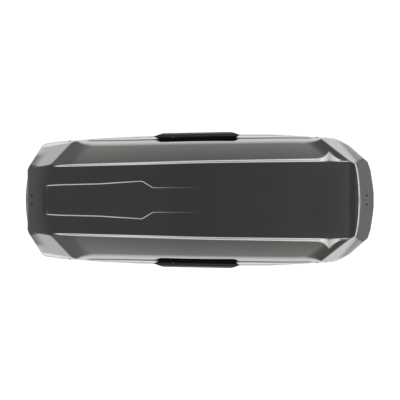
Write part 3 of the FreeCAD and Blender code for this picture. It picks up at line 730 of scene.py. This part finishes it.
for place in ("front", "middle", "rear"):
    made = hoop("hoop_" + place, "lid_hoop_" + place)
    print(made.name, [round(v, 3) for v in made.dimensions])

# %% [markdown]
# Small repeated solids, such as screw heads, ribs and stitches, come from Geometry Nodes. A solid is put on every
# point of a cloud and turned to the point's own direction, and its sizes are named inputs, so that a different head
# needs one change. Copies made by hand would work for ten screws, but not for ninety stitches. The result is turned
# into a plain mesh.


# %% Small solids on points
def node_group(name, inputs):
    """A group with geometry in and out, and one input for each (title, socket type, value)."""
    group = bpy.data.node_groups.new(name, "GeometryNodeTree")
    group.interface.new_socket("Geometry", in_out="INPUT", socket_type="NodeSocketGeometry")
    for title, kind, value in inputs:
        group.interface.new_socket(title, in_out="INPUT", socket_type=kind).default_value = value
    group.interface.new_socket("Geometry", in_out="OUTPUT", socket_type="NodeSocketGeometry")
    return group


def add(group, kind, **settings):
    """Adds a node to a group with some of its properties set."""
    made = group.nodes.new(kind)
    for key, value in settings.items():
        setattr(made, key, value)
    return made


def dome(group, source):
    """A flattened ball: Radius, and Height share for how flat it is."""
    ball = add(group, "GeometryNodeMeshUVSphere")
    ball.inputs["Segments"].default_value = 20
    ball.inputs["Rings"].default_value = 10
    group.links.new(source.outputs["Radius"], ball.inputs["Radius"])
    flatten = add(group, "ShaderNodeCombineXYZ")
    flatten.inputs[0].default_value = flatten.inputs[1].default_value = 1.0
    group.links.new(source.outputs["Height share"], flatten.inputs[2])
    pressed = add(group, "GeometryNodeTransform")
    group.links.new(ball.outputs["Mesh"], pressed.inputs["Geometry"])
    group.links.new(flatten.outputs["Vector"], pressed.inputs["Scale"])
    return pressed.outputs["Geometry"]


def bar(group, source):
    """A plain bar: Width along X, Length along Y and Height along Z."""
    size = add(group, "ShaderNodeCombineXYZ")
    for i, title in enumerate(("Width", "Length", "Height")):
        group.links.new(source.outputs[title], size.inputs[i])
    block = add(group, "GeometryNodeMeshCube")
    group.links.new(size.outputs["Vector"], block.inputs["Size"])
    return block.outputs["Mesh"]


def instance_group(name, build, material, **inputs):
    """Puts one small solid on every point, turned so that its Z is the point's own direction."""
    titles = [(title.replace("_", " "), "NodeSocketFloat", value) for title, value in inputs.items()]
    group = node_group(name, titles)
    source = add(group, "NodeGroupInput")
    solid = build(group, source)
    normal = add(group, "GeometryNodeInputNamedAttribute", data_type="FLOAT_VECTOR")
    normal.inputs["Name"].default_value = "facing"
    turn = add(group, "FunctionNodeAlignRotationToVector", axis="Z")
    group.links.new(normal.outputs["Attribute"], turn.inputs["Vector"])
    spread = add(group, "GeometryNodeInstanceOnPoints")
    group.links.new(source.outputs["Geometry"], spread.inputs["Points"])
    group.links.new(solid, spread.inputs["Instance"])
    group.links.new(turn.outputs["Rotation"], spread.inputs["Rotation"])
    real = add(group, "GeometryNodeRealizeInstances")
    finish = add(group, "GeometryNodeSetMaterial")
    finish.inputs["Material"].default_value = material
    result = add(group, "NodeGroupOutput")
    group.links.new(spread.outputs["Instances"], real.inputs["Geometry"])
    group.links.new(real.outputs["Geometry"], finish.inputs["Geometry"])
    group.links.new(finish.outputs["Geometry"], result.inputs["Geometry"])
    return group


def grown(name, points, facings, group, body, replaced, material):
    """Evaluates a node group on a cloud of points into one plain mesh."""
    cloud = bpy.data.meshes.new(name + "_points")
    cloud.from_pydata([tuple(p) for p in points], [], [])
    layer = cloud.attributes.new("facing", "FLOAT_VECTOR", "POINT")
    layer.data.foreach_set("vector", [c for v in facings for c in v])
    holder = bpy.data.objects.new(name + "_points", cloud)
    bpy.context.scene.collection.objects.link(holder)
    holder.modifiers.new("grow", "NODES").node_group = group
    solid = bpy.data.meshes.new_from_object(holder.evaluated_get(bpy.context.evaluated_depsgraph_get()))
    bpy.data.objects.remove(holder)
    facing = solid.attributes.get("facing")
    if facing:
        solid.attributes.remove(facing)
    solid.name = name
    solid.materials.clear()
    solid.materials.append(material)
    return add_object(name, solid, body, replaced)


UP = Vector((0, 0, 1))
print("small solids: dome, bar")

# %% [markdown]
# The screw heads sit where the real box shows a dark dot: a pair on the roof near each end, turned to the slope of
# the lid, and three along the foot of the wall on each side.


# %% Screw heads
def lid_normal(x, y, step=1 * MM):
    """The direction that the lid's outside faces at a plan point."""
    rise_x = (height_at(x + step, y) - height_at(x - step, y)) / (2 * step)
    rise_y = (height_at(x, y + step) - height_at(x, y - step)) / (2 * step)
    return Vector((-rise_x, -rise_y, 1)).normalized()


SIDE_HEAD_Z = SKIRT_Z + 5 * MM
roof_heads = [(-1.056, 0.0286), (1.047, 0.0283)]
side_heads = [(-0.822, 0.3715), (0.739, 0.3945), (0.795, 0.3895)]
spots = [(x, side * y, height_at(x, y)) for x, y in roof_heads for side in (1, -1)]
facings = [lid_normal(x, y) for x, y, z in spots]
spots += [(x, side * y, SIDE_HEAD_Z) for x, y in side_heads for side in (1, -1)]
facings += [UP] * (len(spots) - len(facings))
screw_group = instance_group("screw_heads", dome, black_steel, Radius=0.0056, Height_share=0.42)
screws = grown("screw_heads", spots, facings, screw_group, "lid", ["lid_rivets"], black_steel)
print("screw heads:", len(spots), "faces", len(screws.data.polygons))

# %% [markdown]
# The floor mat is ribbed so that luggage doesn't slide, and the straps are sewn where they loop round their
# anchors. Both are rows of one small bar, so the same kind of group makes them, with the bar's three sizes as
# inputs. A bump would be cheaper, but the ribs and the thread stand up from the surface and are seen at a low
# angle when the lid is open.

# %% Mat ribs and strap stitches
RIB_PITCH, RIB_LIFT, MAT_ENDS, MAT_SIDES = 30 * MM, 0.35 * MM, 80 * MM, 30 * MM
mat_low, mat_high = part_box("floor_mat")
rib_count = int((mat_high.x - mat_low.x - MAT_ENDS) / RIB_PITCH)
rib_start = (mat_low.x + mat_high.x - (rib_count - 1) * RIB_PITCH) / 2
rib_spots = [(rib_start + i * RIB_PITCH, 0.0, mat_high.z + RIB_LIFT) for i in range(rib_count)]
rib_length = mat_high.y - mat_low.y - MAT_SIDES
rib_group = instance_group("mat_ribs", bar, black_rubber, Width=0.004, Length=rib_length, Height=0.0008)
grown("mat_ribs", rib_spots, [UP] * rib_count, rib_group, "base", [], black_rubber)

STITCH_PITCH, STITCH_LIFT, SEAM_END, SEAM_STITCHES = 4 * MM, 0.2 * MM, 20 * MM, 8
SEAM_OFFSETS = (-9 * MM, 0.0, 9 * MM)
HALF_STRAP = 12.5 * MM
strap_low, strap_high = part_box("cargo_straps")
stitch_spots = [(middle + row, side * (strap_high.y - SEAM_END - k * STITCH_PITCH), strap_high.z + STITCH_LIFT)
                for middle in (strap_low.x + HALF_STRAP, strap_high.x - HALF_STRAP)
                for side in (1, -1) for row in SEAM_OFFSETS for k in range(SEAM_STITCHES)]
stitch_group = instance_group("strap_stitches", bar, thread, Width=0.0009, Length=0.0027, Height=0.0005)
grown("strap_stitches", stitch_spots, [UP] * len(stitch_spots), stitch_group, "base", [], thread)
print("mat ribs", rib_count, "stitches", len(stitch_spots))

# %% [markdown]
# The handles hang on ears on the flank. From above, the bright flank would show through the notch round each ear,
# so a black block is put under each pin as painted shade: it stands for the shade in the notch under the handle.
# It is a plain box on the hinge line, low enough to stay clear of the handle when that swings out.

# %% Painted-shade blocks under the handle pins
BLOCK_HALF, BLOCK_INSIDE, NOTCH_OUTSIDE = 6 * MM, 8.3 * MM, 8.2 * MM
BLOCK_UNDER, BLOCK_TOP = -16 * MM, -5 * MM


def notch_shade_blocks(side):
    """Two black boxes of painted shade, from just inside the hinge line out to the edge of the notch, under the pins
    of one handle.
    """
    ears_low, ears_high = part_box("grip_ears_" + side)
    pull = next(j for j in frame["record"]["behaviour"]["joints"] if j["name"] == "grip_pull_" + side)
    at, axis = pull["pos_m"], pull["axis"]
    notch_edge = abs(at[1]) + NOTCH_OUTSIDE
    corners = [(a, b, up) for up in (BLOCK_UNDER, BLOCK_TOP) for a, b in ((-1, 0), (1, 0), (1, 1), (-1, 1))]
    quads = [(0, 3, 2, 1), (4, 5, 6, 7), (0, 1, 5, 4), (1, 2, 6, 5), (2, 3, 7, 6), (3, 0, 4, 7)]
    points, faces = [], []
    for x in (ears_low.x + BLOCK_HALF, ears_high.x - BLOCK_HALF):
        along_axis = (x - at[0]) / axis[0]
        y, z = at[1] + along_axis * axis[1], at[2] + along_axis * axis[2]
        edges = sorted([math.copysign(abs(y) - BLOCK_INSIDE, y), math.copysign(notch_edge, y)])
        faces += [tuple(len(points) + i for i in quad) for quad in quads]
        points += [(x + a * BLOCK_HALF, edges[b], z + up) for a, b, up in corners]
    # the black of these boxes is painted shade for the notch under the handle
    return add_piece("ear_blocks_" + side, points, faces, "lid", [], black_steel)


for side in ("left", "right"):
    print("ear blocks", side, [round(v, 3) for v in notch_shade_blocks(side).dimensions])

# %% [markdown]
# The nose carries a soft black lip. It is thickest in the middle and fades out to both sides, and it wraps over
# the ledge of the lid's flange. Part of its black is painted shade: the piece takes the handles' black finish and
# covers the ledge, so that it stands for the shadow under the nose's edge as well as for the real lip. It is one
# rounded section swept across the nose, closed at both ends.

# %% Nose lip with painted shade
LIP_THIN, LIP_GAP, LIP_ROUND = 0.3 * MM, 0.2 * MM, 2 * MM
LIP_OVER, LIP_CAP, LIP_CROWN = 1.8 * MM, 1.2 * MM, 4.0 * MM


def nose_lip():
    """A section of eight points, whose thickness and crown fade from the middle to both sides."""
    lip_low, lip_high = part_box("nose_lip")
    half = lip_high.y
    wall_x = NOSE_X + LEDGE - LIP_GAP
    back_x = NOSE_X - LIP_GAP
    over = SKIRT_Z + LIP_OVER
    points = []
    stations = np.linspace(-half, half, 61)
    for y in stations:
        fade = 1 - (y / half) ** 2
        bulge = (lip_high.x - lip_low.x) * fade
        face = NOSE_X - LIP_THIN - max(bulge - LIP_THIN, 0.0)
        top = over + LIP_CAP + LIP_CROWN * fade
        points += [(face, y, lip_low.z + LIP_ROUND), (face, y, lip_high.z - LIP_ROUND),
                   (face + (wall_x - face) * 0.25, y, over + (top - over) * 0.75),
                   (face + (wall_x - face) * 0.6, y, top), (wall_x, y, top), (wall_x, y, over),
                   (back_x, y, over), (back_x, y, lip_low.z)]
    faces = swept_faces(len(stations), len(points) // len(stations))
    # the handles' black finish and the part over the ledge are painted shade for the shadow under the nose's edge, as
    # well as the black lip
    return add_piece("nose_lip_and_shade", points, faces, "lid", ["nose_lip"], black_grip)


lip_and_shade_piece = nose_lip()
print("nose lip", [round(v, 4) for v in lip_and_shade_piece.dimensions])

# %% [markdown]
# Moulded and pressed parts never have knife edges. The CAD's own solids keep their shape here, but each gets its
# flat faces joined and its sharp edges rounded with a small bevel, which is what catches the light. The bevel only
# takes material away, so every piece stays inside its CAD size. A piece whose bevelled mesh isn't closed keeps the
# CAD's own mesh.

# %% Rounded edges on the CAD's pieces
WELD_GAP, FLAT_ANGLE, SHARP_ANGLE = 0.02 * MM, math.radians(1.5), math.radians(35)


def soften(node, width):
    """A copy of a node's mesh with its flat faces joined and its sharp edges rounded."""
    source = nodes[node]
    work = source.copy()
    work.data = source.data.copy()
    bpy.context.scene.collection.objects.link(work)
    weld = work.modifiers.new("weld", "WELD")
    weld.merge_threshold = WELD_GAP
    flat = work.modifiers.new("flat", "DECIMATE")
    flat.decimate_type = "DISSOLVE"
    flat.angle_limit = FLAT_ANGLE
    bevel = work.modifiers.new("bevel", "BEVEL")
    bevel.width = width
    bevel.segments = 2
    bevel.limit_method = "ANGLE"
    bevel.angle_limit = SHARP_ANGLE
    bevel.use_clamp_overlap = True
    bevel.harden_normals = True
    solid = bpy.data.meshes.new_from_object(work.evaluated_get(bpy.context.evaluated_depsgraph_get()))
    bpy.data.objects.remove(work)
    return solid


def open_edges(data):
    """The number of edges that don't join exactly two faces."""
    probe = bmesh.new()
    probe.from_mesh(data)
    bad = sum(1 for edge in probe.edges if len(edge.link_faces) != 2)
    probe.free()
    return bad


# width of the rounding in millimetres
edge_widths = {"side_grip_left": 1.6, "side_grip_right": 1.6, "tray": 1.2, "clamp_housings": 1.5,
               "clamp_plates": 0.6, "clamp_fixed_claws": 1.2, "strap_anchors": 0.4, "strap_buckles": 0.8,
               "latch_bar_left": 0.8, "latch_bar_right": 0.8, "latch_guides_left": 0.7, "latch_guides_right": 0.7,
               "lid_rail_left": 0.8, "lid_rail_right": 0.8}
for where in ("front_left", "front_right", "rear_left", "rear_right"):
    edge_widths["clamp_claw_" + where] = 1.2
    edge_widths["clamp_knob_" + where] = 1.0
body_of = {node: body for body, group in frame["record"]["behaviour"]["bodies"].items() for node in group}
for node, width in edge_widths.items():
    rounded = soften(node, width * MM)
    bad = open_edges(rounded)
    if bad:
        print(node, "keeps its CAD mesh:", bad, "open edges")
        continue
    rounded.name = "round_" + node
    add_object("round_" + node, rounded, body_of[node], [node])
print("edges looked at on", len(edge_widths), "pieces")

# %% [markdown]
# The stage is a pale floor, a studio sky and a camera. The sky is dark overhead and bright round the horizon, as
# under a large studio ceiling with lit walls, because that is what shapes the lid: each panel takes the tone of
# the part of the room that it faces. The floor glows, so that it reads as a clean white sweep. It glows less in an
# oval round the box, because a brighter floor there would wash out the walls of the lid.

# %% Floor
FLOOR_HALF, FLOOR_DROP = 14.0, 0.5 * MM
GLOW_FROM, GLOW_OVER = 1.02, 0.35
floor_mesh = bpy.data.meshes.new("studio_floor")
floor_corners = [(a * FLOOR_HALF, b * FLOOR_HALF, 0) for a, b in ((-1, -1), (1, -1), (1, 1), (-1, 1))]
floor_mesh.from_pydata(floor_corners, [], [(0, 1, 2, 3)])
studio_floor = bpy.data.objects.new("studio_floor", floor_mesh)
studio_floor.location = (0, 0, -FLOOR_DROP)
bpy.context.scene.collection.objects.link(studio_floor)
pale, pale_shader, spot = new_material("studio_white")
oval = spot.node("ShaderNodeVectorMath", {"operation": "MULTIPLY"}, i0=spot, i1=(0.6, 1.0, 1.0))
far = spot.node("ShaderNodeVectorMath", {"operation": "LENGTH"}, output=1, i0=oval)
glow = ((far - GLOW_FROM) / GLOW_OVER).clamp().blend(grey(0.32), grey(1.0))
feed(pale_shader, Base_Color=grey(0.5), Roughness=0.9, Emission_Color=glow, Emission_Strength=2.6)
floor_mesh.materials.append(pale)
print("floor", studio_floor.name)

# %% [markdown]
# The sky's tone depends on the height of the direction, from the horizon at 0 to straight up at 1. It is shifted a
# little towards both ends of the box, and more towards the tail, so that the sloping ends of the lid take a brighter
# part of the sky than its sides do at the same slope.

# %% Sky
END_SHARE, END_LIMIT = 0.35, 0.030
TAIL_SHARE, TAIL_LIMIT = 0.5, 0.055
SKY_STRENGTH = 2.55
world = bpy.data.worlds.new("studio_sky")
bpy.context.scene.world = world
world.use_nodes = True
sky = world.node_tree
sky.nodes.clear()
coordinate = Wire(sky, sky.nodes.new("ShaderNodeTexCoord").outputs["Generated"])
height = coordinate.node("ShaderNodeSeparateXYZ", output=2, Vector=coordinate)
length = coordinate.node("ShaderNodeSeparateXYZ", output=0, Vector=coordinate)
tail_light = coordinate.math("MINIMUM", coordinate.math("MAXIMUM", length * TAIL_SHARE, 0.0), TAIL_LIMIT)
end_light = coordinate.math("MINIMUM", coordinate.math("ABSOLUTE", length) * END_SHARE, END_LIMIT)
sky_stops = [(0.0, 0.95), (0.08, 0.95), (0.20, 0.82), (0.30, 0.74), (0.45, 0.57), (0.58, 0.32), (0.68, 0.215),
             (0.76, 0.152), (0.85, 0.095), (0.90, 0.083), (0.93, 0.064), (0.944, 0.044), (0.96, 0.052),
             (0.982, 0.038), (1.0, 0.050)]
tone = coordinate.node("ShaderNodeValToRGB", {"stops": sky_stops}, Fac=height - (end_light + tail_light))
background = coordinate.node("ShaderNodeBackground", Color=tone, Strength=SKY_STRENGTH)
output = sky.nodes.new("ShaderNodeOutputWorld")
sky.links.new(background.socket, output.inputs["Surface"])
print("sky stops", len(sky_stops))

# %% [markdown]
# The camera looks straight down from far away, so that the box shows almost without perspective. Its lens is worked
# out from the length of the box, the share of the view that the box fills, and the height at which it is widest.

# %% Camera
BOX_LENGTH, VIEW_SHARE = 2.200, 0.875
CAMERA_Z, WIDEST_Z = 26.0, 0.33
camera_data = bpy.data.cameras.new("camera")
camera = bpy.data.objects.new("camera", camera_data)
bpy.context.scene.collection.objects.link(camera)
camera_data.sensor_width = 36.0
camera_data.lens = camera_data.sensor_width * (CAMERA_Z - WIDEST_Z) / (BOX_LENGTH / VIEW_SHARE)
camera_data.clip_end = 100.0
camera.location = (0, 0, CAMERA_Z)
bpy.context.scene.camera = camera
bpy.context.scene.view_settings.view_transform = "Standard"
print("camera lens", round(camera_data.lens, 1))
